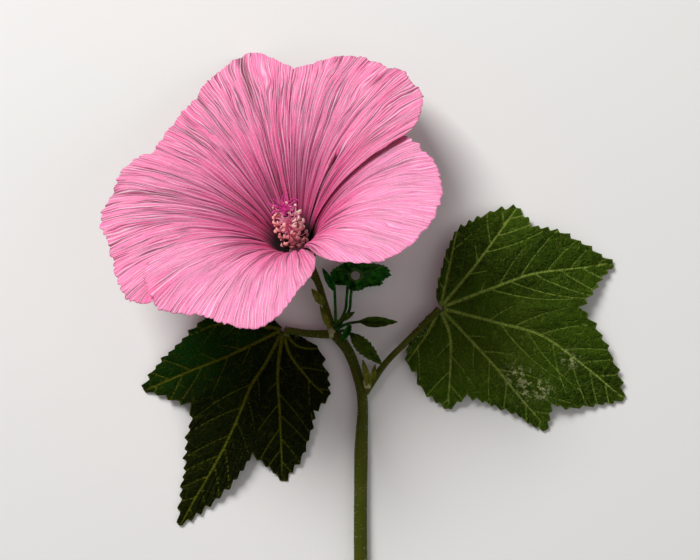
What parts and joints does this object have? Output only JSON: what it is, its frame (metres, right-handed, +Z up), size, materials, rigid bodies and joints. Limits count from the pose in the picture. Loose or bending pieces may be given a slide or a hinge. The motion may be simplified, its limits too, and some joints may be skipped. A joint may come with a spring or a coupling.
{
  "type": "musk mallow flower",
  "caption": "Picked sprig of pink mallow: one open blossom on its stalk, two lobed toothed leaves and young growth, lying on its back.",
  "frame": {"origin": "middle of the sprig's bounding box, on the surface it rests on", "axes": "+Y from the cut end of the stem towards the blossom, +Z up from the resting surface, +X towards the larger leaf"},
  "size_m": [0.1416, 0.1454, 0.053],
  "materials": {
    "petal": "satin, finely ribbed",
    "calyx": "softly hairy",
    "anther": "powdery",
    "stigma": "satin",
    "stem": "satin, finely ridged and hairy",
    "leaf": "matt, puckered between the veins",
    "young_leaf": "satin",
    "stipule": "satin"
  },
  "bodies": {
    "root": {"petal_upper_left": "petal", "petal_upper_right": "petal", "petal_right": "petal", "petal_bottom": "petal", "petal_left": "petal", "calyx": "calyx", "epicalyx": "calyx", "staminal_column": "anther", "pistil": "stigma", "flower_stalk": "stem", "stem": "stem", "left_leaf": "leaf", "right_leaf": "leaf", "young_leaf_toothed": "young_leaf", "young_leaf_pointed": "young_leaf", "young_leaf_curled": "young_leaf", "young_leaf_small": "young_leaf", "young_leaf_folded": "young_leaf", "young_leaf_slender": "young_leaf", "stipule_fork_long": "stipule", "stipule_fork_curled": "stipule", "stipule_joint_lower": "stipule", "stipule_joint_upper": "stipule"}
  },
  "joints": []
}
